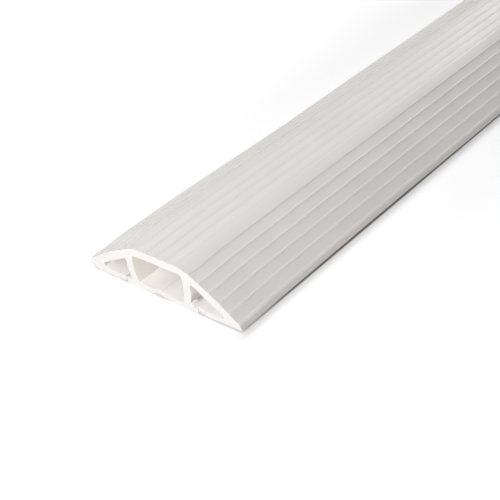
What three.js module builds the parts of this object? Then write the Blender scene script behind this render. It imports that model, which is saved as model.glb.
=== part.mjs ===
// Floor cable cover: one straight length of soft, ribbed plastic extrusion with three channels.
// The underside is slit along each channel, so that a cable is pressed in from below.
// Millimetres. X runs across the cover, Y along it and Z up. The origin is on the floor, under
// the middle of the length.

import * as THREE from "three";

// Overall size
const LENGTH = 1000;
const WIDTH = 65;
const BODY_HEIGHT = 15; // floor to the crown between the ribs

// Outer curve: a flat crown, two shoulders and two slightly bulging slopes
const CROWN_WIDTH = 18;
const SHOULDER_RADIUS = 13.7;
const SLOPE_RADIUS = 90;

// Long edges: a steep face under the brow of each slope, and a round nose on the floor
const BROW_HEIGHT = 2.85;
const EDGE_LEAN = THREE.MathUtils.degToRad(70); // from the floor
const NOSE_RADIUS = 0.5;

// Walls
const CROWN_WALL = 2.7;
const SLOPE_WALL = 2.8;
const BASE_WALL = 2.3;
const WEB_WALL = 2.9;

// Webs: upright above the knee, with their feet turned in under the middle channel
const MIDDLE_CHANNEL_WIDTH = 21.1;
const KNEE_HEIGHT = 6.4;
const KNEE_RADIUS = 9;
const FOOT_INSET = 1.2;

// Rounded corners inside the channels
const CEILING_RADIUS = 1.1;
const WEB_TOP_RADIUS = 0.8;
const TOE_RADIUS = 0.9;
const FOOT_RADIUS = 0.6;

// Slits through the base
const MIDDLE_SLIT_WIDTH = 0.3;
const SIDE_SLIT_WIDTH = 0.6;
const SIDE_SLIT_FROM_FOOT = 2.9; // web foot to the near edge of the slit

// Ribs that run the whole length, for grip
const RIB_WIDTH = 1;
const RIB_HEIGHT = 0.25;
const RIB_PITCH = 4.15;
const SHOULDER_PITCH = 5.5; // last rib on the crown to the first on the slope
const CROWN_RIBS_A_SIDE = 2; // besides the one on the middle line

// How finely curves are drawn
const RIB_STEPS = 6;
const ARC_STEP = THREE.MathUtils.degToRad(7);
const INNER_ARC_DIVISIONS = 3;

// The edge face runs up from the round nose to the brow
const nose = new THREE.Vector2(WIDTH / 2 - NOSE_RADIUS, NOSE_RADIUS);
const edgeOutwards = new THREE.Vector2(Math.sin(EDGE_LEAN), Math.cos(EDGE_LEAN));
const edgeFoot = nose.clone().addScaledVector(edgeOutwards, NOSE_RADIUS);
const edgeRun = (BROW_HEIGHT - edgeFoot.y) / Math.tan(EDGE_LEAN);
const brow = new THREE.Vector2(edgeFoot.x - edgeRun, BROW_HEIGHT);

// Centres of the shoulder and of the slope, which touches the shoulder and ends at the brow
const shoulder = new THREE.Vector2(CROWN_WIDTH / 2, BODY_HEIGHT - SHOULDER_RADIUS);
const slope = centreTouchingBoth(shoulder, SHOULDER_RADIUS, brow, 0, SLOPE_RADIUS);
const toShoulder = shoulder.clone().sub(slope).angle();
const toBrow = brow.clone().sub(slope).angle();

// Places across the section that walls, slits and corners share
const ceiling = BODY_HEIGHT - CROWN_WALL;
const webInner = MIDDLE_CHANNEL_WIDTH / 2;
const webOuter = webInner + WEB_WALL;
const sideSlitNear = webOuter - FOOT_INSET + SIDE_SLIT_FROM_FOOT;
const sideSlitFar = sideSlitNear + SIDE_SLIT_WIDTH;

// The centre of a circle of the given radius that holds two circles, or a circle and a point, and
// touches both
function centreTouchingBoth(a, radiusA, b, radiusB, radius) {
  const fromA = radius - radiusA;
  const fromB = radius - radiusB;
  const across = b.clone().sub(a);
  const apart = across.length();
  const along = (fromA ** 2 - fromB ** 2 + apart ** 2) / (2 * apart);
  const down = Math.sqrt(fromA ** 2 - along ** 2);
  across.normalize();
  const sideways = new THREE.Vector2(across.y, -across.x);
  return a.clone().addScaledVector(across, along).addScaledVector(sideways, down);
}

// The outer curve of the right half, without ribs, from the middle line down to the floor
function outerCurve() {
  return new THREE.Path()
    .moveTo(0, BODY_HEIGHT)
    .lineTo(shoulder.x, BODY_HEIGHT)
    .absarc(shoulder.x, shoulder.y, SHOULDER_RADIUS, Math.PI / 2, toShoulder, true)
    .absarc(slope.x, slope.y, SLOPE_RADIUS, toShoulder, toBrow, true)
    .lineTo(edgeFoot.x, edgeFoot.y)
    .absarc(nose.x, nose.y, NOSE_RADIUS, edgeOutwards.angle(), 0, true)
    .absarc(nose.x, nose.y, NOSE_RADIUS, 0, -Math.PI / 2, true);
}

// Distances of the rib centres from the middle line, measured along the outer curve. The slope has as
// many as fit above its brow.
function ribPlaces() {
  const places = [];
  for (let i = 0; i <= CROWN_RIBS_A_SIDE; i++) {
    places.push(i * RIB_PITCH);
  }
  const firstOnSlope = CROWN_RIBS_A_SIDE * RIB_PITCH + SHOULDER_PITCH;
  const overShoulder = SHOULDER_RADIUS * (Math.PI / 2 - toShoulder);
  const downSlope = SLOPE_RADIUS * (toShoulder - toBrow);
  const lastPlace = CROWN_WIDTH / 2 + overShoulder + downSlope - RIB_WIDTH / 2;
  for (let s = firstOnSlope; s <= lastPlace; s += RIB_PITCH) {
    places.push(s);
  }
  return places;
}

// Distances along the outer curve at which it is drawn: through each arc, and closer over each rib
function stations(curve, ribs) {
  const found = [];
  let start = 0;
  for (const piece of curve.curves) {
    const length = piece.getLength();
    const turn = piece.isEllipseCurve ? length / piece.xRadius : 0;
    const steps = Math.max(1, Math.ceil(turn / ARC_STEP));
    for (let i = 0; i <= steps; i++) {
      found.push(start + (length * i) / steps);
    }
    start += length;
  }
  const clearOfRibs = found.filter((s) => ribs.every((rib) => Math.abs(s - rib) > RIB_WIDTH / 2));
  for (const rib of ribs) {
    for (let i = 0; i <= RIB_STEPS; i++) {
      clearOfRibs.push(rib + RIB_WIDTH * (i / RIB_STEPS - 0.5));
    }
  }
  const inOrder = clearOfRibs.filter((s) => s >= 0).sort((a, b) => a - b);
  return inOrder.filter((s, i) => i === 0 || s - inOrder[i - 1] > 0.01);
}

// How far the surface stands out at one place: a round rib, or nothing between ribs
function reliefAt(s, ribs) {
  const nearest = Math.min(...ribs.map((rib) => Math.abs(s - rib)));
  const fraction = Math.min(1, nearest / (RIB_WIDTH / 2));
  return RIB_HEIGHT * Math.sqrt(1 - fraction ** 2);
}

function ribbedOutside() {
  const curve = outerCurve();
  const total = curve.getLength();
  const ribs = ribPlaces();
  return stations(curve, ribs).map((s) => {
    const place = curve.getPoint(s / total);
    const heading = curve.getTangent(s / total);
    const outwards = new THREE.Vector2(-heading.y, heading.x);
    return place.addScaledVector(outwards, reliefAt(s, ribs));
  });
}

// Draws a line to a corner and rounds the corner towards the next one, by an arc that touches both sides
function roundCorner(path, corner, next, radius) {
  const inDirection = corner.clone().sub(path.currentPoint).normalize();
  const outDirection = next.clone().sub(corner).normalize();
  const turn = inDirection.cross(outDirection);
  const half = Math.acos(THREE.MathUtils.clamp(inDirection.dot(outDirection), -1, 1)) / 2;
  const start = corner.clone().addScaledVector(inDirection, -radius * Math.tan(half));
  const side = Math.sign(turn);
  const toCentre = new THREE.Vector2(-inDirection.y, inDirection.x).multiplyScalar(side * radius);
  const centre = start.clone().add(toCentre);
  const from = start.clone().sub(centre).angle();
  path.lineTo(start.x, start.y);
  path.absarc(centre.x, centre.y, radius, from, from + side * 2 * half, side < 0);
}

// One side channel, from the far edge of its slit round to the near edge
function sideChannel() {
  const innerRadius = SLOPE_RADIUS - SLOPE_WALL;
  const toe = new THREE.Vector2(0, BASE_WALL + TOE_RADIUS);
  toe.x = slope.x + Math.sqrt((innerRadius - TOE_RADIUS) ** 2 - (toe.y - slope.y) ** 2);
  const top = new THREE.Vector2(webOuter + WEB_TOP_RADIUS, 0);
  top.y = slope.y + Math.sqrt((innerRadius - WEB_TOP_RADIUS) ** 2 - (top.x - slope.x) ** 2);
  const toToe = toe.clone().sub(slope).angle();
  const toTop = top.clone().sub(slope).angle();

  const knee = new THREE.Vector2(webOuter, KNEE_HEIGHT);
  const foot = new THREE.Vector2(webOuter - FOOT_INSET, BASE_WALL);
  const slitNearEdge = new THREE.Vector2(sideSlitNear, BASE_WALL);
  const path = new THREE.Path()
    .moveTo(sideSlitFar, 0)
    .lineTo(sideSlitFar, BASE_WALL)
    .absarc(toe.x, toe.y, TOE_RADIUS, -Math.PI / 2, toToe, false)
    .absarc(slope.x, slope.y, innerRadius, toToe, toTop, false)
    .absarc(top.x, top.y, WEB_TOP_RADIUS, toTop, Math.PI, false);
  roundCorner(path, knee, foot, KNEE_RADIUS);
  roundCorner(path, foot, slitNearEdge, FOOT_RADIUS);
  return path.lineTo(sideSlitNear, BASE_WALL).lineTo(sideSlitNear, 0);
}

// The right half of the middle channel, from the edge of its slit up to the middle of its ceiling
function halfMiddleChannel() {
  const foot = new THREE.Vector2(webInner - FOOT_INSET, BASE_WALL);
  const knee = new THREE.Vector2(webInner, KNEE_HEIGHT);
  const corner = new THREE.Vector2(webInner, ceiling);
  const middle = new THREE.Vector2(0, ceiling);
  const path = new THREE.Path().moveTo(MIDDLE_SLIT_WIDTH / 2, 0).lineTo(MIDDLE_SLIT_WIDTH / 2, BASE_WALL);
  roundCorner(path, foot, knee, FOOT_RADIUS);
  roundCorner(path, knee, corner, KNEE_RADIUS);
  roundCorner(path, corner, middle, CEILING_RADIUS);
  return path.lineTo(middle.x, middle.y);
}

// The closed section: the right half, then its mirror image back to the start
function section() {
  const rightHalf = [
    ...ribbedOutside(),
    ...sideChannel().getPoints(INNER_ARC_DIVISIONS),
    ...halfMiddleChannel().getPoints(INNER_ARC_DIVISIONS),
  ];
  const offTheMiddleLine = rightHalf.slice(1, -1);
  const leftHalf = offTheMiddleLine.toReversed().map((p) => new THREE.Vector2(-p.x, p.y));
  return new THREE.Shape([...rightHalf, ...leftHalf]);
}

// The section lies in the XY plane and is extruded along Z, so the length is then laid along Y
const cover = new THREE.ExtrudeGeometry(section(), { depth: LENGTH, bevelEnabled: false });
cover.rotateX(Math.PI / 2);
cover.translate(0, LENGTH / 2, 0);

const softWhitePlastic = new THREE.MeshStandardMaterial({ color: 0xe6e4df, roughness: 0.5, metalness: 0 });
const coverMesh = new THREE.Mesh(cover, softWhitePlastic);
coverMesh.name = "cable_cover";

const part = new THREE.Group();
part.add(coverMesh);

export default part;
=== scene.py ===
# %% [markdown]
# # A soft floor cable cover
#
# The real thing is one length of flexible white PVC, pushed through a die and sawn off. It lies on a
# floor and bridges cables: a wide channel runs under the crown, and a narrow one under each slope.
# A slit under each channel lets a cable be pressed in from below.
#
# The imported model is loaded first. It gives the length, the width and the height, and the finer cover
# that is modelled below has to stay inside its box.

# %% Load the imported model
import math

import bmesh
import bpy
from mathutils import Matrix, Vector, noise


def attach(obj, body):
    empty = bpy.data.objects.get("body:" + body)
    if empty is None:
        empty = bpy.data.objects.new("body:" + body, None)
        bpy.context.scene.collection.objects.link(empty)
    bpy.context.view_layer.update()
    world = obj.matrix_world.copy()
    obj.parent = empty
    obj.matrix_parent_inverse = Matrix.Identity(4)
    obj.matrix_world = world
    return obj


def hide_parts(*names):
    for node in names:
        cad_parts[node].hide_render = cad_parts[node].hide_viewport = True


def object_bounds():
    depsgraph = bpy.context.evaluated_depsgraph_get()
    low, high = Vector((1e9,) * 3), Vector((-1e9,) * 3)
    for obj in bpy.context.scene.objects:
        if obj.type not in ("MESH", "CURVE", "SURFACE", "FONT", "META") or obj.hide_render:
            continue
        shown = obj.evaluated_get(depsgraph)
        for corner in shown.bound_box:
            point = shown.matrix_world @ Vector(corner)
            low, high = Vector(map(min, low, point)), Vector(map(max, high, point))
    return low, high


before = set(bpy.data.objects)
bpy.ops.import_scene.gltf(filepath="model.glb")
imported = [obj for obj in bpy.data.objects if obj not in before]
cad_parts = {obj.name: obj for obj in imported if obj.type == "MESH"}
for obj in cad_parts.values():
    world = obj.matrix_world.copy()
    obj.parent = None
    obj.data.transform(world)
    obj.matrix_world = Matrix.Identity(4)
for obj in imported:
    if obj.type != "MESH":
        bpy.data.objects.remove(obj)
cad_low, cad_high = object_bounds()

MM = 0.001
length = cad_high.y - cad_low.y
width = cad_high.x - cad_low.x
height = cad_high.z - cad_low.z
print(f"cover: {length / MM:.1f} x {width / MM:.1f} x {height / MM:.2f} mm")

# %% [markdown]
# ## The section
#
# Everything about the cover is in its section. Its outer curve is a flat crown, a shoulder on each side,
# a slope that bulges a little down to its brow, and under the brow a steep edge with a round nose. The
# shoulder is a narrow facet between two soft creases. The curve is made of lines and circles that touch
# each other, so only their sizes are needed, and the centre of the large circle is worked out from what
# it touches. All of it is in millimetres here and becomes metres when it is drawn.
#
# The cover is drawn a little narrower than its box, because a soft length never lies dead straight,
# and its gentle sideways wander needs that room. Above the crown there is room for the ribs.

# %% Sizes of the section
SIDE_ROOM = 0.3
RIB_ROOM = 0.25

CROWN_WIDTH = 18.3
CREASE_RADIUS = 3.0
FACET_WIDTH = 2.7
FACET_LEAN = math.radians(16)
SLOPE_RADIUS = 90.0
BROW_HEIGHT = 2.65
EDGE_LEAN = math.radians(70)
NOSE_RADIUS = 0.5

CROWN_WALL = 2.7
SLOPE_WALL = 2.8
BASE_WALL = 2.3
WEB_WALL = 2.9
MIDDLE_CHANNEL_WIDTH = 21.1
KNEE_HEIGHT = 6.4
FOOT_INSET = 1.2
MIDDLE_SLIT_WIDTH = 0.08
SIDE_SLIT_WIDTH = 0.22
SIDE_SLIT_FROM_FOOT = 2.9

half_width = width / MM / 2 - SIDE_ROOM
body_height = height / MM - RIB_ROOM
ceiling = body_height - CROWN_WALL
web_inner = MIDDLE_CHANNEL_WIDTH / 2
web_outer = web_inner + WEB_WALL
slit_near = web_outer - FOOT_INSET + SIDE_SLIT_FROM_FOOT
slit_far = slit_near + SIDE_SLIT_WIDTH
print("half width and crown height in mm:", round(half_width, 2), round(body_height, 2))

# %% [markdown]
# ## The circles of the slope
#
# The slope is part of a large circle that touches the lower crease and ends at the brow. Its centre could
# be found by trial, but two known distances and the length between the two centres settle it.


# %% Centres of the circles
def flat(x, z):
    """A point of the section, from millimetres across and up to metres."""
    return Vector((x * MM, 0.0, z * MM))


def centre_touching(a, radius_a, b, radius_b, radius):
    """The centre of a circle that holds two smaller ones and touches both. A point has radius 0."""
    apart = (b - a).length
    across = (b - a).normalized()
    sideways = Vector((across.z, 0.0, -across.x))
    from_a = radius - radius_a
    from_b = radius - radius_b
    along = (from_a**2 - from_b**2 + apart**2) / (2 * apart)
    return a + across * along + sideways * math.sqrt(from_a**2 - along**2)


nose_centre = flat(half_width - NOSE_RADIUS, NOSE_RADIUS)
edge_outward = Vector((math.sin(EDGE_LEAN), 0.0, math.cos(EDGE_LEAN)))
edge_foot = nose_centre + edge_outward * NOSE_RADIUS * MM
brow = flat(0, BROW_HEIGHT)
brow.x = edge_foot.x - (brow.z - edge_foot.z) / math.tan(EDGE_LEAN)

facet_ahead = Vector((math.cos(FACET_LEAN), 0.0, -math.sin(FACET_LEAN)))
upper_crease = flat(CROWN_WIDTH / 2, body_height - CREASE_RADIUS)
lower_crease = upper_crease + facet_ahead * FACET_WIDTH * MM
slope_centre = centre_touching(lower_crease, CREASE_RADIUS * MM, brow, 0.0, SLOPE_RADIUS * MM)
print("brow in mm:", [round(c / MM, 2) for c in brow])
print("slope centre in mm:", [round(c / MM, 2) for c in slope_centre])

# %% [markdown]
# ## A pen for bmesh
#
# An outline could be typed as a long list of points, but then nobody can see which of them belong to
# which curve. Here a single vertex is the pen. Extruding it draws a line, and spinning it about a centre
# draws an arc, so the outline is told as a draughtsman would tell it. Turns are clockwise, as seen from
# the near end. Small corners are drawn sharp, and a vertex bevel rounds them afterwards.

# %% The pen
ARC_STEP = math.radians(11)
PEN_AXIS = Vector((0.0, 1.0, 0.0))


def draw_line(bm, pen, place):
    """Extrudes the pen to a new place."""
    tip = bmesh.ops.extrude_vert_indiv(bm, verts=[pen])["verts"][0]
    tip.co = place
    return tip


def draw_in_steps(bm, pen, place, step):
    """Draws a straight line in short steps, so that it can bend later."""
    start = pen.co.copy()
    count = max(1, round((place - start).length / (step * MM)))
    for i in range(1, count + 1):
        pen = draw_line(bm, pen, start.lerp(place, i / count))
    return pen


def draw_arc(bm, pen, centre, turn):
    """Spins the pen about a centre by an angle, clockwise where it is positive."""
    steps = max(1, math.ceil(abs(turn) / ARC_STEP))
    made = bmesh.ops.spin(
        bm,
        geom=[pen],
        cent=centre,
        axis=PEN_AXIS,
        angle=turn,
        steps=steps,
        use_merge=False,
    )
    return [v for v in made["geom_last"] if isinstance(v, bmesh.types.BMVert)][0]


def heading_of(vector):
    """The angle of a direction in the section, counter-clockwise from straight right."""
    return math.atan2(vector.z, vector.x)


def round_corner(bm, corner, radius, segments):
    """Rounds one drawn corner by a vertex bevel that leaves an arc of about that radius."""
    before, after = [e.other_vert(corner).co - corner.co for e in corner.link_edges]
    turn = math.pi - before.angle(after)
    bmesh.ops.bevel(
        bm,
        geom=[corner],
        offset=radius * MM * math.tan(turn / 2),
        offset_type="OFFSET",
        segments=segments,
        profile=0.5,
        affect="VERTICES",
        material=-1,
    )


print("an arc is drawn in steps of at most", round(math.degrees(ARC_STEP)), "degrees")

# %% [markdown]
# ## Outer curve and ribs
#
# Low ribs give a shoe some grip. In the die each is a small round groove, so each is drawn as a short
# arc that stands on the curve, and its two feet are rounded a little, as plastic always is. They stand at
# an even pitch, except that the shoulder between the crown and the slope has none. On the crown, where
# shoes tread, they are worn, so they are lower there.
#
# The curve itself is told as a row of stretches, and the ribs as distances along it.

# %% The stretches of the outer curve
ACROSS = Vector((1.0, 0.0, 0.0))
to_slope = heading_of(lower_crease - slope_centre)
to_brow = heading_of(brow - slope_centre)

# Each stretch of the outer curve: its centre or its direction, and how long it is
STRETCHES = (
    (None, ACROSS, CROWN_WIDTH / 2),
    (upper_crease, None, CREASE_RADIUS * FACET_LEAN),
    (None, facet_ahead, FACET_WIDTH),
    (lower_crease, None, CREASE_RADIUS * (math.pi / 2 - FACET_LEAN - to_slope)),
    (slope_centre, None, SLOPE_RADIUS * (to_slope - to_brow)),
)
to_brow_along = sum(stretch[2] for stretch in STRETCHES)
print("crown to brow in mm:", round(to_brow_along, 2))

# %% Places and sizes of the ribs
RIB_PITCH = 4.13
SHOULDER_PITCH = 5.37
CROWN_RIBS_A_SIDE = 2
CROWN_RIB_WIDTH = 1.2
CROWN_RIB_HEIGHT = 0.16
SLOPE_RIB_WIDTH = 0.75
SLOPE_RIB_HEIGHT = 0.28


def rib_places():
    """Distances of the rib centres from the middle line, along the outer curve, in millimetres."""
    places = [i * RIB_PITCH for i in range(1, CROWN_RIBS_A_SIDE + 1)]
    place = places[-1] + SHOULDER_PITCH
    while place + SLOPE_RIB_WIDTH / 2 < to_brow_along:
        places.append(place)
        place += RIB_PITCH
    return places


def rib_size(place):
    """Width and height of the rib at a place: low and worn on the crown, fresh on the slope."""
    if place < CROWN_WIDTH / 2:
        return CROWN_RIB_WIDTH, CROWN_RIB_HEIGHT
    return SLOPE_RIB_WIDTH, SLOPE_RIB_HEIGHT


def rib_circle(rib_width, rib_height):
    """The radius of a rib's circle, and how far the pen turns along it from foot to foot."""
    radius = (rib_width**2 / 4 + rib_height**2) / (2 * rib_height)
    return radius, 2 * math.asin(rib_width / 2 / radius)


print("ribs besides the middle one, in mm:", [round(place, 2) for place in rib_places()])

# %% [markdown]
# ## From the middle rib down to the floor
#
# The pen starts on top of the middle rib. Along each stretch it goes on to the foot of the next rib, over
# that rib, and so on to the end of the stretch. Last come the brow, the steep edge and the nose.

# %% Draw the outer curve
RIB_FOOT_RADIUS = 0.12
BROW_RADIUS = 0.15
SMALL_CORNER_SEGMENTS = 2


def draw_along(bm, pen, centre, ahead, distance):
    """Goes on straight ahead, or round a centre where there is one."""
    if centre is None:
        return draw_line(bm, pen, pen.co + ahead * distance * MM)
    return draw_arc(bm, pen, centre, distance * MM / (pen.co - centre).length)


def draw_rib(bm, pen, centre, ahead, rib_width, rib_height):
    """Goes over one rib, from foot to foot."""
    if centre is None:
        outward = Vector((-ahead.z, 0.0, ahead.x))
    else:
        outward = pen.co - centre
        outward.rotate(Matrix.Rotation(rib_width * MM / 2 / outward.length, 3, "Y"))
        outward.normalize()
    radius, turn = rib_circle(rib_width, rib_height)
    onward = Vector((outward.z, 0.0, -outward.x))
    middle = pen.co + onward * rib_width * MM / 2
    return draw_arc(bm, pen, middle + outward * (rib_height - radius) * MM, turn)


def draw_outside(bm):
    """Draws the right half of the outer curve. Returns the pen, which has come to the floor."""
    radius, turn = rib_circle(CROWN_RIB_WIDTH, CROWN_RIB_HEIGHT)
    top = body_height + CROWN_RIB_HEIGHT
    pen = draw_arc(bm, bm.verts.new(flat(0, top)), flat(0, top - radius), turn / 2)
    feet = [pen]
    walked = CROWN_RIB_WIDTH / 2
    end = 0.0
    for centre, ahead, stretch in STRETCHES:
        end += stretch
        for place in rib_places():
            if end - stretch < place < end:
                rib_width, rib_height = rib_size(place)
                pen = draw_along(bm, pen, centre, ahead, place - rib_width / 2 - walked)
                feet.append(pen)
                pen = draw_rib(bm, pen, centre, ahead, rib_width, rib_height)
                feet.append(pen)
                walked = place + rib_width / 2
        if end > walked:
            pen = draw_along(bm, pen, centre, ahead, end - walked)
            walked = end
    brow_corner = pen
    pen = draw_line(bm, pen, edge_foot)
    pen = draw_arc(bm, pen, nose_centre, math.pi - EDGE_LEAN)
    # The last foot stays sharp, because the rounding of the brow begins right beside it
    for foot in feet[:-1]:
        round_corner(bm, foot, RIB_FOOT_RADIUS, SMALL_CORNER_SEGMENTS)
    round_corner(bm, brow_corner, BROW_RADIUS, SMALL_CORNER_SEGMENTS)
    return pen


# %% [markdown]
# ## Channels and slits
#
# The pen goes back along the floor. At each slit it turns up into the channel, runs round the inside,
# and comes out at the slit's other edge, so a channel is a bay of the one outline and no boolean cut
# is needed. The webs stand upright and turn their feet in under the middle channel.
#
# The base is drawn in short steps, because it will bend. Every point of a channel is marked as inside,
# so that the channels can be given a finish of their own. Only the right half is drawn, because the
# section is the same on both sides, and mirroring it closes the outline.

# %% Draw a side channel
TOE_RADIUS = 0.9
WEB_TOP_RADIUS = 0.8
KNEE_RADIUS = 9.0
FOOT_RADIUS = 0.6
BASE_STEP = 1.2


def draw_side_channel(bm, pen):
    """Draws one side channel, from its slit's outer edge round to the inner one."""
    inner = (SLOPE_RADIUS - SLOPE_WALL) * MM
    toe = flat(0, BASE_WALL + TOE_RADIUS)
    toe_reach = inner - TOE_RADIUS * MM
    toe.x = slope_centre.x + math.sqrt(toe_reach**2 - (toe.z - slope_centre.z) ** 2)
    top = flat(web_outer + WEB_TOP_RADIUS, 0)
    top_reach = inner - WEB_TOP_RADIUS * MM
    top.z = slope_centre.z + math.sqrt(top_reach**2 - (top.x - slope_centre.x) ** 2)
    to_toe = heading_of(toe - slope_centre)
    to_top = heading_of(top - slope_centre)

    pen = draw_in_steps(bm, pen, flat(slit_far, 0), BASE_STEP)
    pen = draw_line(bm, pen, flat(slit_far, BASE_WALL))
    pen = draw_in_steps(bm, pen, Vector((toe.x, 0.0, BASE_WALL * MM)), BASE_STEP)
    pen = draw_arc(bm, pen, toe, -(to_toe + math.pi / 2))
    pen = draw_arc(bm, pen, slope_centre, -(to_top - to_toe))
    pen = draw_arc(bm, pen, top, -(math.pi - to_top))
    knee = pen = draw_line(bm, pen, flat(web_outer, KNEE_HEIGHT))
    foot = pen = draw_line(bm, pen, flat(web_outer - FOOT_INSET, BASE_WALL))
    pen = draw_in_steps(bm, pen, flat(slit_near, BASE_WALL), BASE_STEP)
    pen = draw_line(bm, pen, flat(slit_near, 0))
    return pen, [(knee, KNEE_RADIUS), (foot, FOOT_RADIUS)]


print("a side slit goes from", round(slit_near, 2), "to", round(slit_far, 2), "mm")

# %% Draw the middle channel
CEILING_RADIUS = 1.1


def draw_half_middle_channel(bm, pen):
    """Draws the right half of the middle channel, from its slit up to the middle of the ceiling."""
    pen = draw_in_steps(bm, pen, flat(MIDDLE_SLIT_WIDTH / 2, 0), BASE_STEP)
    pen = draw_line(bm, pen, flat(MIDDLE_SLIT_WIDTH / 2, BASE_WALL))
    foot = pen = draw_in_steps(bm, pen, flat(web_inner - FOOT_INSET, BASE_WALL), BASE_STEP)
    knee = pen = draw_line(bm, pen, flat(web_inner, KNEE_HEIGHT))
    corner = pen = draw_line(bm, pen, flat(web_inner, ceiling))
    draw_line(bm, pen, flat(0, ceiling))
    return [(foot, FOOT_RADIUS), (knee, KNEE_RADIUS), (corner, CEILING_RADIUS)]


print("the middle channel is", MIDDLE_CHANNEL_WIDTH, "x", round(ceiling - BASE_WALL, 2), "mm")

# %% Draw the whole section
CORNER_SEGMENTS = 4
SAME_PLACE = 0.00001


def draw_section(bm, inside):
    """Draws the right half, marks its inside, and mirrors it into one closed outline."""
    pen = draw_outside(bm)
    outside = set(bm.verts)
    pen, corners = draw_side_channel(bm, pen)
    corners += draw_half_middle_channel(bm, pen)
    for corner, radius in corners:
        round_corner(bm, corner, radius, CORNER_SEGMENTS)
    for vert in bm.verts:
        vert[inside] = vert not in outside and vert.co.z > BASE_WALL * MM / 2
    bmesh.ops.mirror(bm, geom=bm.verts[:] + bm.edges[:], axis="X", merge_dist=SAME_PLACE)


section = bmesh.new()
inside_mark = section.verts.layers.int.new("inside")
draw_section(section, inside_mark)
print("section:", len(section.verts), "points,", len(section.edges), "edges")

# %% [markdown]
# ## Along the length
#
# A straight extrusion needs only two ends, but this one is soft: it wanders, its flaps lift, and the
# sawn end is not perfect. So it is extruded ring by ring, close together near the ends, where the eye
# looks, and far apart between them. Extruding the end face again and again leaves a closed solid with
# a cap at each end. The face is handed over with its edges and corners, because the operator removes
# the old face only then, and otherwise it would stay inside as a wall.

# %% Extrude the section
END_RINGS = (0.4, 1.0, 2.0, 3.2, 4.6, 6.2, 8.0, 10.0, 12.5, 15.5, 20.0, 27.0, 36.0, 48.0)
MIDDLE_STEP = 18.0
CAP_CORNERS = 100


def ring_places():
    """Places of the rings along the length, in metres, from the near end to the far one."""
    near = [0.0] + [d * MM for d in END_RINGS]
    span = length - 2 * near[-1]
    count = round(span / (MIDDLE_STEP * MM))
    between = [near[-1] + span * i / count for i in range(1, count)]
    places = near + between + [length - d for d in reversed(near)]
    return [cad_low.y + d for d in places]


def is_cap(face):
    """A sawn end has hundreds of corners, and every other face has a few."""
    return len(face.verts) > CAP_CORNERS


def extrude_section(bm):
    """Turns the outline into a closed solid. Returns its two sawn faces."""
    places = ring_places()
    bmesh.ops.translate(bm, verts=bm.verts[:], vec=(0.0, places[0], 0.0))
    cap = bmesh.ops.contextual_create(bm, geom=bm.edges[:])["faces"][0]
    for here, there in zip(places, places[1:]):
        region = [cap, *cap.edges, *cap.verts]
        grown = bmesh.ops.extrude_face_region(bm, geom=region)["geom"]
        moved = [v for v in grown if isinstance(v, bmesh.types.BMVert)]
        bmesh.ops.translate(bm, verts=moved, vec=(0.0, there - here, 0.0))
        cap = [f for f in grown if isinstance(f, bmesh.types.BMFace)][0]
    bmesh.ops.recalc_face_normals(bm, faces=bm.faces[:])
    return [f for f in bm.faces if is_cap(f)]


caps = extrude_section(section)
print("extruded:", len(section.faces), "faces,", len(caps), "caps")

# %% [markdown]
# ## The sawn rim
#
# A saw leaves a crisp edge, but not a mathematical one. A narrow bevel round both caps catches the light
# as the real rim does. The cover gets four finishes: the outer skin from the die, the base and the walls
# inside the channels, which are painted lighter and warmer as painted light, and the sawn ends, which are
# duller. Each face is told here which one it will have, while the inside of the channels is still easy to
# find.

# %% Bevel the rim
RIM = 0.03
LOOKS_UP = 0.7
SKIN = 0
SAWN = 1
CHANNEL_BASE = 2
CHANNEL_WALL = 3

for face in section.faces:
    if is_cap(face):
        face.material_index = SAWN
    elif all(v[inside_mark] for v in face.verts):
        face.material_index = CHANNEL_BASE if face.normal.z > LOOKS_UP else CHANNEL_WALL
rim = [edge for cap in caps for edge in cap.edges]
bmesh.ops.bevel(
    section,
    geom=rim,
    offset=RIM * MM,
    offset_type="OFFSET",
    segments=1,
    profile=0.5,
    affect="EDGES",
    material=-1,
    clamp_overlap=True,
)
print("with its rim:", len(section.faces), "faces")

# %% [markdown]
# ## A soft thing lying on a floor
#
# A soft length never lies like a ruled prism. It sways sideways by a fraction of a millimetre, and most
# of all near the sawn end. The left edge has sprung up from the floor in a long wave, and the right edge
# by a little less than a millimetre, so a thin dark gap shows under it. At the near end the saw has
# pressed the left shoulder down and pushed the soft base up in waves.
#
# Each of these movements is told by a few pairs of numbers, a place and the movement there, both in
# millimetres, and the curve between them is smooth. Simulation could bend such a length too, but it
# wouldn't bend it where this one is bent.

# %% How it lies along its length
SWAY = (
    (5.0, 0.25), (18.0, -0.2), (65.0, -0.27), (105.0, -0.05), (150.0, 0.08),
    (250.0, 0.18), (420.0, -0.15), (620.0, 0.1), (800.0, -0.1), (1000.0, 0.05),
)
LEFT_EDGE_UP = (
    (0.0, 1.0), (18.0, 1.45), (38.0, 1.65), (92.0, 1.05), (155.0, 1.8),
    (240.0, 2.2), (430.0, 0.8), (640.0, 1.4), (820.0, 0.7), (1000.0, 1.1),
)
RIGHT_EDGE_UP = (
    (0.0, 0.7), (40.0, 0.8), (80.0, 0.95), (130.0, 0.85),
    (300.0, 0.6), (550.0, 0.3), (800.0, 0.6), (1000.0, 0.4),
)
print("left edge up by at most", max(up for place, up in LEFT_EDGE_UP), "mm")

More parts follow.
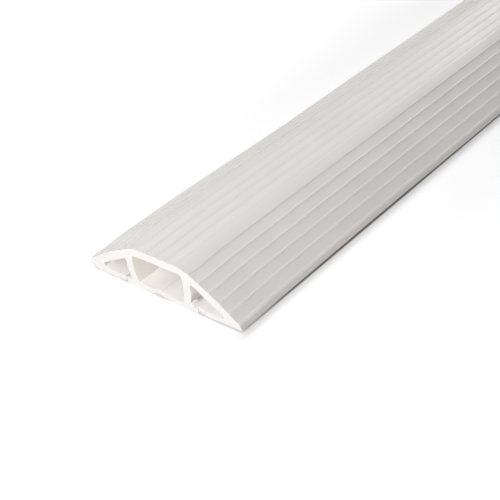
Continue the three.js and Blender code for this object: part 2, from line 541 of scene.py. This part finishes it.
# %% How the saw has pressed its near end
END_REACH = 14.0
TOP_AT_END = ((-32.0, 1.0), (-27.0, 0.55), (-22.0, 0.0), (-14.5, -0.6), (-6.5, 0.0))
CHANNEL_FLOOR_AT_END = (
    (-32.0, 1.0), (-26.0, 0.2), (-slit_far, 0.1), (-slit_near, 0.0), (-9.3, 0.0), (-6.2, -0.5),
    (-3.9, -0.3), (-1.3, 0.25), (2.7, 0.25), (6.4, -0.15), (9.3, -0.1), (slit_near, 0.0),
    (slit_far, 0.5), (17.6, -0.1), (20.4, 0.35), (25.0, 0.0),
)
UNDERSIDE_AT_END = (
    (-32.0, 1.3), (-26.5, 0.1), (-22.4, 0.45), (-19.0, 0.2), (-slit_far, 0.75), (-slit_near, 0.1),
    (-12.0, 0.0), (-5.9, 0.0), (-2.6, 0.9), (0.0, 0.9), (2.0, 0.5), (5.3, 0.0), (12.0, 0.1),
    (slit_near, 0.35), (slit_far, 1.1), (19.5, 0.5), (25.0, 0.9), (32.0, 0.95),
)
TIP_SPLAY = 0.5
TIP_DRAWN_IN = 0.35
TIP_ROUNDING = 2.0
print("the saw has pressed the last", END_REACH, "mm")


# %% Smooth curves through a few points
def fade_in(fraction):
    """0 below 0, 1 above 1, and smooth between."""
    t = min(1.0, max(0.0, fraction))
    return t * t * (3 - 2 * t)


def through(points, x):
    """A smooth curve through a few points, level at each of them."""
    if x <= points[0][0]:
        return points[0][1]
    for (x0, move0), (x1, move1) in zip(points, points[1:]):
        if x <= x1:
            return move0 + (move1 - move0) * fade_in((x - x0) / (x1 - x0))
    return points[-1][1]


print("right edge 60 mm from the end, up by", round(through(RIGHT_EDGE_UP, 60.0), 2), "mm")

# %% [markdown]
# ## Where each point goes
#
# Every point of the straight cover has a place across, a place up and a distance from the near end. The
# functions below turn those three into a movement. The flaps and the base move along the whole length,
# and close to the near end the marks of the saw take over.

# %% How the flaps and the base lie
BASE_WAVE = 0.12
BASE_WAVE_LENGTH = 35.0
BASE_WAVE_WIDTH = 8.0
BASE_WAVE_FADE = 6.0


def flap_lift(x, z, from_end):
    """How far a side flap has risen: the left one from its shoulder, the right one at its foot only."""
    if x < 0:
        return through(LEFT_EDGE_UP, from_end) * max(0.0, (-x - web_inner) / (half_width - web_inner))
    outwards = fade_in((x - slit_far) / (half_width - slit_far))
    return through(RIGHT_EDGE_UP, from_end) * outwards * max(0.0, 1 - z / BROW_HEIGHT)


def base_wave(x, from_end):
    """The low waves of the soft base between the webs."""
    reach = fade_in((web_inner - FOOT_INSET - abs(x)) / BASE_WAVE_FADE)
    ripple = noise.noise(Vector((from_end / BASE_WAVE_LENGTH, x / BASE_WAVE_WIDTH, 0.5)))
    return BASE_WAVE * reach * (1 + ripple) / 2


print("left tip 60 mm from the end, up by", round(flap_lift(-half_width, 0.0, 60.0), 2), "mm")


# %% What the saw did
def lift_at_end(x, z):
    """How far one point of the sawn end has been pushed up or down."""
    if z > BROW_HEIGHT:
        return through(TOP_AT_END, x)
    share = fade_in(z / BASE_WALL)
    at_floor = through(CHANNEL_FLOOR_AT_END, x)
    if z > BASE_WALL:
        rise = (z - BASE_WALL) / (BROW_HEIGHT - BASE_WALL)
        return at_floor + (through(TOP_AT_END, x) - at_floor) * rise
    return through(UNDERSIDE_AT_END, x) * (1 - share) + at_floor * share


def left_tip_shift(x, z, from_end):
    """How far the left tip is splayed out at its nose, and drawn in again at the very end."""
    outwards = fade_in((-x - web_outer) / (half_width - web_outer))
    low = fade_in(1 - z / BROW_HEIGHT)
    near = 1 - fade_in(from_end / END_REACH)
    drawn_in = TIP_DRAWN_IN * (1 - fade_in(from_end / TIP_ROUNDING))
    return outwards * near * (drawn_in - TIP_SPLAY * low)


print("left tip at the end, up by", round(lift_at_end(-half_width, 0.0), 2), "mm")

# %% Move every point
CLOSE_TO = 0.01


def settled(place):
    """Where one point of the straight extrusion lies on the real, soft one."""
    from_end = (place.y - cad_low.y) / MM
    x = place.x / MM
    z = place.z / MM
    near = 1 - fade_in(from_end / END_REACH)
    further = flap_lift(x, z, from_end)
    if z < BASE_WALL + CLOSE_TO:
        further += base_wave(x, from_end)
    lift = lift_at_end(x, z) * near + further * (1 - near)
    aside = through(SWAY, from_end) + left_tip_shift(x, z, from_end)
    return place + Vector((aside * MM, 0.0, max(-z, lift) * MM))


for vert in section.verts:
    vert.co = settled(vert.co)
print("settled:", len(section.verts), "vertices")

# %% [markdown]
# ## A curl left by the saw
#
# Inside the right channel, at the foot of the web, a thin curl of plastic stands up where the saw has
# torn the base. It is drawn with the same pen, pulled a little way into the channel with a slight twist,
# given its thickness with solidify, and rooted in the base, so that nothing floats.

# %% Draw the curl
CURL_FROM_FOOT = 0.05
CURL_ROOT_DEPTH = 0.2
CURL_ROOT = flat(web_outer - FOOT_INSET + CURL_FROM_FOOT, BASE_WALL - CURL_ROOT_DEPTH)
CURL_RISE = Vector((0.72, 0.0, 0.74))
CURL_STRAIGHT = 2.5
CURL_STRAIGHT_STEP = 1.0
CURL_RADIUS = 0.6
CURL_TURN = math.radians(95)
CURL_THICKNESS = 0.4
CURL_REACH = 1.4
CURL_PULLS = 3
CURL_TWIST = math.radians(5)


def draw_curl():
    """Makes the curl as a mesh of its own."""
    bm = bmesh.new()
    pen = bm.verts.new(CURL_ROOT)
    pen = draw_in_steps(bm, pen, CURL_ROOT + CURL_RISE * CURL_STRAIGHT * MM, CURL_STRAIGHT_STEP)
    leftward = Vector((-CURL_RISE.z, 0.0, CURL_RISE.x))
    draw_arc(bm, pen, pen.co + leftward * CURL_RADIUS * MM, -CURL_TURN)
    bmesh.ops.translate(bm, verts=bm.verts[:], vec=(0.0, cad_low.y + RIM * MM, 0.0))
    front = bm.edges[:]
    for _ in range(CURL_PULLS):
        grown = bmesh.ops.extrude_edge_only(bm, edges=front)["geom"]
        moved = [v for v in grown if isinstance(v, bmesh.types.BMVert)]
        bmesh.ops.translate(bm, verts=moved, vec=(0.0, CURL_REACH * MM / CURL_PULLS, 0.0))
        bmesh.ops.rotate(bm, verts=moved, cent=CURL_ROOT, matrix=Matrix.Rotation(CURL_TWIST, 3, "Y"))
        front = [e for e in grown if isinstance(e, bmesh.types.BMEdge)]
    bmesh.ops.recalc_face_normals(bm, faces=bm.faces[:])
    bmesh.ops.solidify(bm, geom=bm.faces[:], thickness=CURL_THICKNESS * MM)
    bmesh.ops.recalc_face_normals(bm, faces=bm.faces[:])
    for face in bm.faces:
        face.material_index = SAWN
    mesh = bpy.data.meshes.new("curl")
    bm.to_mesh(mesh)
    bm.free()
    return mesh


curl = draw_curl()
print("curl:", len(curl.polygons), "faces")
section.from_mesh(curl)
bpy.data.meshes.remove(curl)

# %% [markdown]
# ## The cover as one object
#
# The shape becomes one mesh object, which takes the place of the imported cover. It is shaded smooth, so
# that its arcs look round, but an edge that turns by more than a certain angle stays sharp.

# %% Make the cover's object
SHARP_ANGLE = math.radians(40)


def finish_mesh(bm, name):
    """Turns a bmesh into an object with smooth faces, and with sharp edges where it turns sharply."""
    mesh = bpy.data.meshes.new(name)
    bm.to_mesh(mesh)
    bm.free()
    mesh.shade_smooth()
    mesh.set_sharp_from_angle(angle=SHARP_ANGLE)
    made = bpy.data.objects.new(name, mesh)
    bpy.context.scene.collection.objects.link(made)
    return made


cover = finish_mesh(section, "ribbed_cover")
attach(cover, "root")
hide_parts("cable_cover")
print(cover.name, len(cover.data.polygons), "faces")

# %% [markdown]
# ## Materials
#
# Flexible PVC is a warm white with a satin skin. Seen close up it has a fine grain, and faint lines
# that the die drew along the whole length. The sawn ends are duller and show the saw's path. Inside the
# channels the base is painted lighter and the walls warmer: painted light, for the light that bounces
# about in there.
#
# Each finish could be one plain colour, but then it looks like a sketch. Here noise in Object
# coordinates varies its colour, its roughness and its bumps, so the pattern stays on the plastic when the
# camera moves. Building a node tree is the same few steps over and over, so helpers for them come first.

# %% Add nodes
NOISE_LOW = 0.35
NOISE_HIGH = 0.65


def add(tree, kind, **values):
    """Adds a node and sets its named inputs."""
    node = tree.nodes.new(kind)
    for socket, value in values.items():
        node.inputs[socket.replace("_", " ")].default_value = value
    return node


def calculate(tree, operation, *values):
    """A Math node. Each of its values is a number or comes from another node."""
    node = tree.nodes.new("ShaderNodeMath")
    node.operation = operation
    for socket, value in zip(node.inputs, values):
        if isinstance(value, float):
            socket.default_value = value
        else:
            tree.links.new(value, socket)
    return node.outputs[0]


def mapped_range(tree, source, low, high):
    """Spreads a noise, which stays near its middle, over a range of values."""
    node = add(tree, "ShaderNodeMapRange", From_Min=NOISE_LOW, From_Max=NOISE_HIGH, To_Min=low, To_Max=high)
    tree.links.new(source, node.inputs["Value"])
    return node.outputs["Result"]


def mixed(tree, factor, a, b):
    """Mixes two colours by a factor. Either colour may come from another node."""
    tone = tree.nodes.new("ShaderNodeMix")
    tone.data_type = "RGBA"
    tree.links.new(factor, tone.inputs["Factor"])
    for socket, colour in (("A", a), ("B", b)):
        if isinstance(colour, tuple):
            tone.inputs[socket].default_value = colour
        else:
            tree.links.new(colour, tone.inputs[socket])
    return tone.outputs["Result"]


print("a noise is spread from", NOISE_LOW, "to", NOISE_HIGH)

# %% [markdown]
# ## A grain that the materials share
#
# All four finishes have the same kind of grain, at scales of their own. It is built once as a node
# group, and each material places that group. The group puts out a height for the bumps, and a tone for
# the slow change of colour over a few centimetres.

# %% The grain
FINE_DETAIL = 2.0
BROAD_DETAIL = 3.0
BROAD_SHARE = 0.35


def grain_group():
    """Fine grain of moulded plastic: small soft bumps, with a broader unevenness under them."""
    group = bpy.data.node_groups.new("plastic_grain", "ShaderNodeTree")
    group.interface.new_socket(name="Place", in_out="INPUT", socket_type="NodeSocketVector")
    group.interface.new_socket(name="Fine Scale", in_out="INPUT", socket_type="NodeSocketFloat")
    group.interface.new_socket(name="Broad Scale", in_out="INPUT", socket_type="NodeSocketFloat")
    group.interface.new_socket(name="Height", in_out="OUTPUT", socket_type="NodeSocketFloat")
    group.interface.new_socket(name="Tone", in_out="OUTPUT", socket_type="NodeSocketFloat")
    entry = group.nodes.new("NodeGroupInput")
    leave = group.nodes.new("NodeGroupOutput")
    fine = add(group, "ShaderNodeTexNoise", Detail=FINE_DETAIL)
    broad = add(group, "ShaderNodeTexNoise", Detail=BROAD_DETAIL)
    for texture, scale in ((fine, "Fine Scale"), (broad, "Broad Scale")):
        group.links.new(entry.outputs["Place"], texture.inputs["Vector"])
        group.links.new(entry.outputs[scale], texture.inputs["Scale"])
    height_of_both = calculate(
        group, "MULTIPLY_ADD", broad.outputs["Fac"], BROAD_SHARE, fine.outputs["Fac"]
    )
    group.links.new(height_of_both, leave.inputs["Height"])
    group.links.new(broad.outputs["Fac"], leave.inputs["Tone"])
    return group


grain = grain_group()
print("group:", grain.name, [socket.name for socket in grain.interface.items_tree])

# %% [markdown]
# ## What every finish does
#
# A finish has two tones that a noise chooses between. Close to the floor the outer skin is painted greyer:
# this is painted shade on its steep edge and nose. Bumps are added from the grain and from a second
# pattern that belongs to the finish.

# %% Colour, grain and bumps
# Below these heights the skin is painted greyer: painted shade on its steep edge and nose.
NEAR_FLOOR_FROM = 0.0023
NEAR_FLOOR_TO = 0.0027


def new_material(name):
    """A material, its node tree and its Principled BSDF."""
    material = bpy.data.materials.new(name)
    material.use_nodes = True
    tree = material.node_tree
    return material, tree, tree.nodes["Principled BSDF"]


def colour_it(tree, shader, place, noise_value, dark, light, near_floor_tone):
    """Two tones that a noise chooses between, and a third one close to the floor, which on the skin is
    painted shade.
    """
    grain_tone = mixed(tree, mapped_range(tree, noise_value, 0.0, 1.0), dark, light)
    split = tree.nodes.new("ShaderNodeSeparateXYZ")
    above_floor = add(tree, "ShaderNodeMapRange", From_Min=NEAR_FLOOR_FROM, From_Max=NEAR_FLOOR_TO)
    tree.links.new(place, split.inputs["Vector"])
    tree.links.new(split.outputs["Z"], above_floor.inputs["Value"])
    colour = mixed(tree, above_floor.outputs["Result"], near_floor_tone, grain_tone)
    tree.links.new(colour, shader.inputs["Base Color"])


def place_grain(tree, place, fine_scale, broad_scale):
    """Puts the shared grain into a material, at its own scales."""
    texture = tree.nodes.new("ShaderNodeGroup")
    texture.node_tree = grain
    texture.inputs["Fine Scale"].default_value = fine_scale
    texture.inputs["Broad Scale"].default_value = broad_scale
    tree.links.new(place, texture.inputs["Place"])
    return texture


def raise_bump(tree, shader, main, other, share, strength, distance):
    """Adds a share of a second height to the first, and bumps the surface with both."""
    relief = calculate(tree, "MULTIPLY_ADD", other, share, main)
    bump = add(tree, "ShaderNodeBump", Strength=strength, Distance=distance)
    tree.links.new(relief, bump.inputs["Height"])
    tree.links.new(bump.outputs["Normal"], shader.inputs["Normal"])


print("the skin turns grey below", NEAR_FLOOR_TO / MM, "mm")

# %% [markdown]
# ## The skin from the die
#
# Plastic comes out of the die with a satin skin and with faint lines along it, from scratches in the
# steel. A noise that a Mapping node stretches along the length gives such lines. They vary the roughness
# and add a little to the bumps. The same recipe, with other tones, makes the base and the walls of the
# channels.

# %% The skin
# Painted shade: the greyer tone of the skin's steep edge and nose, close to the floor.
SKIN_PAINTED_SHADE = (0.62, 0.595, 0.57, 1.0)
SKIN_DARK = (0.735, 0.712, 0.688, 1.0)
SKIN_LIGHT = (0.765, 0.742, 0.718, 1.0)
SKIN_DULLNESS = 0.48
# Painted light: the channel base is far lighter than the skin, and the channel walls are lighter and
# warmer, for the light that bounces about inside the channels.
BASE_PAINTED_LIGHT_LOW = (0.93, 0.915, 0.90, 1.0)
BASE_PAINTED_LIGHT_HIGH = (0.955, 0.94, 0.925, 1.0)
WALL_PAINTED_BOUNCE_LOW = (0.80, 0.75, 0.70, 1.0)
WALL_PAINTED_BOUNCE_HIGH = (0.83, 0.785, 0.735, 1.0)
CHANNEL_DULLNESS = 0.42
DULLNESS_SPREAD = 0.03
PLASTIC_IOR = 1.52

SKIN_FINE_SCALE = 2600.0
SKIN_BROAD_SCALE = 45.0
LINE_STRETCH = (1.0, 0.012, 1.0)
LINE_SCALE = 700.0
LINE_DETAIL = 3.0
LINE_SHARE = 0.2
SKIN_BUMP = 0.4
SKIN_RELIEF = 0.00004


def die_material(name, dark, light, near_floor_tone, dull):
    """Plastic as it leaves the die: satin, grained, with faint lines along the length."""
    material, tree, shader = new_material(name)
    shader.inputs["IOR"].default_value = PLASTIC_IOR
    place = tree.nodes.new("ShaderNodeTexCoord").outputs["Object"]
    texture = place_grain(tree, place, SKIN_FINE_SCALE, SKIN_BROAD_SCALE)
    drawn_out = add(tree, "ShaderNodeMapping", Scale=LINE_STRETCH)
    lines = add(tree, "ShaderNodeTexNoise", Scale=LINE_SCALE, Detail=LINE_DETAIL)
    tree.links.new(place, drawn_out.inputs["Vector"])
    tree.links.new(drawn_out.outputs["Vector"], lines.inputs["Vector"])
    streaks = lines.outputs["Fac"]
    colour_it(tree, shader, place, texture.outputs["Tone"], dark, light, near_floor_tone)
    dullness = mapped_range(tree, streaks, dull - DULLNESS_SPREAD, dull + DULLNESS_SPREAD)
    tree.links.new(dullness, shader.inputs["Roughness"])
    raise_bump(tree, shader, texture.outputs["Height"], streaks, LINE_SHARE, SKIN_BUMP, SKIN_RELIEF)
    return material


skin = die_material("extruded_skin", SKIN_DARK, SKIN_LIGHT, SKIN_PAINTED_SHADE, SKIN_DULLNESS)
channel_base_painted_light = die_material("channel_base_painted_light", BASE_PAINTED_LIGHT_LOW, BASE_PAINTED_LIGHT_HIGH, BASE_PAINTED_LIGHT_LOW, CHANNEL_DULLNESS)
channel_wall_painted_bounce = die_material("channel_wall_painted_bounce", WALL_PAINTED_BOUNCE_LOW, WALL_PAINTED_BOUNCE_HIGH, WALL_PAINTED_BOUNCE_LOW, CHANNEL_DULLNESS)
print("from the die:", skin.name, channel_base_painted_light.name, channel_wall_painted_bounce.name)

# %% [markdown]
# ## The sawn ends
#
# The blade leaves short slanting strokes, and the cut is dull all over. A noise that is stretched across
# and turned a little gives the strokes. Here they are the main relief and the grain is the smaller share.

# %% The sawn ends
SAWN_DARK = (0.62, 0.60, 0.582, 1.0)
SAWN_LIGHT = (0.67, 0.652, 0.635, 1.0)
# The even tone of the sawn end close to the floor.
SAWN_NEAR_FLOOR = (0.64, 0.625, 0.61, 1.0)
SAWN_DULLNESS = (0.62, 0.8)
SAWN_FINE_SCALE = 4200.0
SAWN_BROAD_SCALE = 260.0
STROKE_STRETCH = (0.12, 1.0, 1.0)
STROKE_SLANT = math.radians(14)
STROKE_SCALE = 2600.0
STROKE_DETAIL = 4.0
GRAIN_SHARE = 0.3
SAWN_BUMP = 0.6
SAWN_RELIEF = 0.00005


def sawn_material():
    """Plastic that a saw has cut: dull, and combed by the strokes of the blade."""
    material, tree, shader = new_material("sawn_end")
    place = tree.nodes.new("ShaderNodeTexCoord").outputs["Object"]
    texture = place_grain(tree, place, SAWN_FINE_SCALE, SAWN_BROAD_SCALE)
    slanted = add(tree, "ShaderNodeMapping", Rotation=(0.0, STROKE_SLANT, 0.0), Scale=STROKE_STRETCH)
    comb = add(tree, "ShaderNodeTexNoise", Scale=STROKE_SCALE, Detail=STROKE_DETAIL)
    tree.links.new(place, slanted.inputs["Vector"])
    tree.links.new(slanted.outputs["Vector"], comb.inputs["Vector"])
    strokes = comb.outputs["Fac"]
    colour_it(tree, shader, place, strokes, SAWN_DARK, SAWN_LIGHT, SAWN_NEAR_FLOOR)
    tree.links.new(mapped_range(tree, strokes, *SAWN_DULLNESS), shader.inputs["Roughness"])
    raise_bump(tree, shader, strokes, texture.outputs["Height"], GRAIN_SHARE, SAWN_BUMP, SAWN_RELIEF)
    return material


finishes = {SKIN: skin, SAWN: sawn_material(), CHANNEL_BASE: channel_base_painted_light, CHANNEL_WALL: channel_wall_painted_bounce}
for slot in sorted(finishes):
    cover.data.materials.append(finishes[slot])
print("materials:", [material.name for material in cover.data.materials])

# %% [markdown]
# ## The floor
#
# The floor is a plain pale sheet. It glows a little, as the table of a product studio does, and more so
# away from the cover, so that it stays white where the lamps fade. Under the cover it doesn't glow and
# is darker: hardly any light gets in there, and the thin gap under the raised edges has to look dark.

# %% The floor's sheet
FLOOR_HALF = 4.0

sheet = bmesh.new()
bmesh.ops.create_grid(sheet, x_segments=2, y_segments=2, size=FLOOR_HALF)
floor = finish_mesh(sheet, "floor")
print(floor.name, 2 * FLOOR_HALF, "m square")


# %% Where the cover stands
def beyond_edge(tree, distance_from_middle, half_size):
    """How far a place lies beyond the cover's edge, and less than 0 under it."""
    from_middle = calculate(tree, "ABSOLUTE", distance_from_middle)
    return calculate(tree, "SUBTRACT", from_middle, half_size)


def outside_of(tree, beyond, blur, step):
    """1 beyond the edge, and under the cover a step down and then a soft way to 0."""
    ramp = add(tree, "ShaderNodeMapRange", From_Min=-blur, From_Max=0.0, To_Max=1 - step)
    tree.links.new(beyond, ramp.inputs["Value"])
    outside = calculate(tree, "GREATER_THAN", beyond, 0.0)
    return calculate(tree, "MAXIMUM", ramp.outputs["Result"], outside)


print("shaded under the cover:", round(2 * half_width, 1), "x", round(length / MM, 1), "mm")

# %% The floor's material
FLOOR_WHITE = (0.97, 0.97, 0.97, 1.0)
FLOOR_UNDER = (0.30, 0.29, 0.28, 1.0)
FLOOR_DULLNESS = 0.9
FLOOR_SHINE = 0.1
GLOW_CLOSE = 0.09
GLOW_AWAY = 0.9
GLOW_FROM = 0.02
GLOW_TO = 0.3
SIDE_BLUR = 0.0006
END_BLUR = 0.025
END_SHADE = 0.3


def floor_material():
    """Pale and dull outside the cover's outline, and shaded inside it."""
    material, tree, shader = new_material("pale_floor")
    shader.inputs["Roughness"].default_value = FLOOR_DULLNESS
    shader.inputs["Specular IOR Level"].default_value = FLOOR_SHINE
    shader.inputs["Emission Strength"].default_value = 1.0
    place = tree.nodes.new("ShaderNodeTexCoord").outputs["Object"]
    split = tree.nodes.new("ShaderNodeSeparateXYZ")
    tree.links.new(place, split.inputs["Vector"])
    across = beyond_edge(tree, split.outputs["X"], half_width * MM)
    along = beyond_edge(tree, split.outputs["Y"], length / 2)
    beside = outside_of(tree, across, SIDE_BLUR, 0.0)
    beyond = outside_of(tree, along, END_BLUR, END_SHADE)
    free = calculate(tree, "MAXIMUM", beside, beyond)
    tree.links.new(mixed(tree, free, FLOOR_UNDER, FLOOR_WHITE), shader.inputs["Base Color"])
    away = add(tree, "ShaderNodeMapRange", From_Min=GLOW_FROM, From_Max=GLOW_TO)
    away.inputs["To Min"].default_value = GLOW_CLOSE
    away.inputs["To Max"].default_value = GLOW_AWAY
    tree.links.new(calculate(tree, "MAXIMUM", across, along), away.inputs["Value"])
    glow = calculate(tree, "MULTIPLY", free, away.outputs["Result"])
    tree.links.new(glow, shader.inputs["Emission Color"])
    return material


floor.data.materials.append(floor_material())
print("floor:", floor.data.materials[0].name, "glows from", GLOW_CLOSE, "to", GLOW_AWAY)

# %% [markdown]
# ## The light
#
# Soft light comes from the left and above. A smaller lamp in front shines on the sawn end and into the
# channels, and a weak one close by on the right opens the shadow beside the near end. The cover is
# long, so its far end has lamps of its own.
#
# A lamp's power in watts says little about the picture, because it fades with distance. So each lamp has
# a level instead: 1 makes a white surface that faces the lamp just white, at any distance.

# %% The lamps
AIM_INSIDE = 0.08

# Name, end (-1 near, 1 far), azimuth, elevation, distance and size in metres, level
LAMPS = (
    ("front", -1, -22, 25, 1.15, 0.3, 0.77),
    ("front_high", -1, 0, 45, 1.15, 0.5, 0.22),
    ("left", -1, 70, 45, 1.15, 0.5, 0.2),
    ("left_behind", -1, 110, 45, 1.15, 0.5, 0.3),
    ("right_close", -1, -65, 30, 0.3, 0.12, 0.05),
    ("far_front", 1, 40, 25, 1.15, 0.3, 0.24),
    ("far_high", 1, 40, 45, 1.15, 0.5, 0.15),
    ("far_left", 1, 70, 45, 1.15, 0.5, 0.14),
)


def soft_light(name, place, target, size, power):
    """A square area light that faces a target."""
    data = bpy.data.lights.new(name, "AREA")
    data.shape = "SQUARE"
    data.size = size
    data.energy = power
    lamp = bpy.data.objects.new(name, data)
    lamp.location = place
    lamp.rotation_euler = (place - target).to_track_quat("Z", "Y").to_euler()
    bpy.context.scene.collection.objects.link(lamp)


def round_the_end(outwards, azimuth, elevation):
    """A direction on a dome round one end. Azimuth 0 is straight out from it and 90 is on the left."""
    round_by = math.radians(azimuth)
    up_by = math.radians(elevation)
    level_part = math.cos(up_by)
    return Vector(
        (-math.sin(round_by) * level_part, outwards * math.cos(round_by) * level_part, math.sin(up_by))
    )


for name, outwards, azimuth, elevation, distance, size, level in LAMPS:
    aim = Vector((0.0, outwards * (length / 2 - AIM_INSIDE), 0.0))
    spot = aim + round_the_end(outwards, azimuth, elevation) * distance
    power = level * math.pi**2 * distance**2
    soft_light(name, spot, aim, size, power)
    print(f"{name}: {power:.2f} W")

# %% [markdown]
# ## The world
#
# The world behind the floor is pale where the camera looks at it, but it gives hardly any light, so that
# the lamps alone decide the shadows. A Light Path node tells the two apart.

# %% The world
WORLD_LIGHT = 0.01
WORLD_SEEN = 0.95
WORLD_WHITE = (1.0, 1.0, 1.0, 1.0)

world = bpy.data.worlds.new("studio")
world.use_nodes = True
sky = world.node_tree.nodes["Background"]
sky.inputs["Color"].default_value = WORLD_WHITE
seen = add(world.node_tree, "ShaderNodeMapRange", To_Min=WORLD_LIGHT, To_Max=WORLD_SEEN)
rays = world.node_tree.nodes.new("ShaderNodeLightPath")
world.node_tree.links.new(rays.outputs["Is Camera Ray"], seen.inputs["Value"])
world.node_tree.links.new(seen.outputs["Result"], sky.inputs["Strength"])
bpy.context.scene.world = world
bpy.context.scene.view_settings.view_transform = "Standard"
print("world:", world.name, "gives", WORLD_LIGHT, "and is seen as", WORLD_SEEN)

# %% [markdown]
# ## The camera
#
# It stands to the right of the near end, a little in front of it and above it, and looks down the
# length. Its place is measured in millimetres from the left edge of the sawn end, and its three angles
# are in degrees: where it heads, how far it looks down, and how far it is rolled.

# %% The camera
CAMERA_FROM_LEFT_EDGE = Vector((222.65, -146.2, 173.35))
HEADING = 45.66
LOOKS_DOWN = 34.09
ROLL = 9.03
IMAGE_SIDE = 500
FOCAL_PIXELS = 980
SENSOR_WIDTH = 36.0
NEAREST_SEEN = 0.01
FURTHEST_SEEN = 50.0

camera_data = bpy.data.cameras.new("camera")
camera_data.sensor_width = SENSOR_WIDTH
camera_data.lens = SENSOR_WIDTH * FOCAL_PIXELS / IMAGE_SIDE
camera_data.clip_start = NEAREST_SEEN
camera_data.clip_end = FURTHEST_SEEN
camera = bpy.data.objects.new("camera", camera_data)
left_edge = Vector((cad_low.x, cad_low.y, 0.0))
stand = Matrix.Translation(left_edge + CAMERA_FROM_LEFT_EDGE * MM)
turn_to_view = Matrix.Rotation(math.radians(HEADING), 4, "Z")
tilt_down = Matrix.Rotation(math.radians(90 - LOOKS_DOWN), 4, "X")
roll_round = Matrix.Rotation(math.radians(-ROLL), 4, "Z")
camera.matrix_world = stand @ turn_to_view @ tilt_down @ roll_round
bpy.context.scene.collection.objects.link(camera)
bpy.context.scene.camera = camera
print("camera:", [round(c, 4) for c in camera.matrix_world.translation], "lens:", camera_data.lens)

# %% [markdown]
# ## The imported box
#
# The finer cover must not be bigger than the imported model, whose box is printed here.

# %% Print the imported box
print("cad:", [list(cad_low), list(cad_high)])
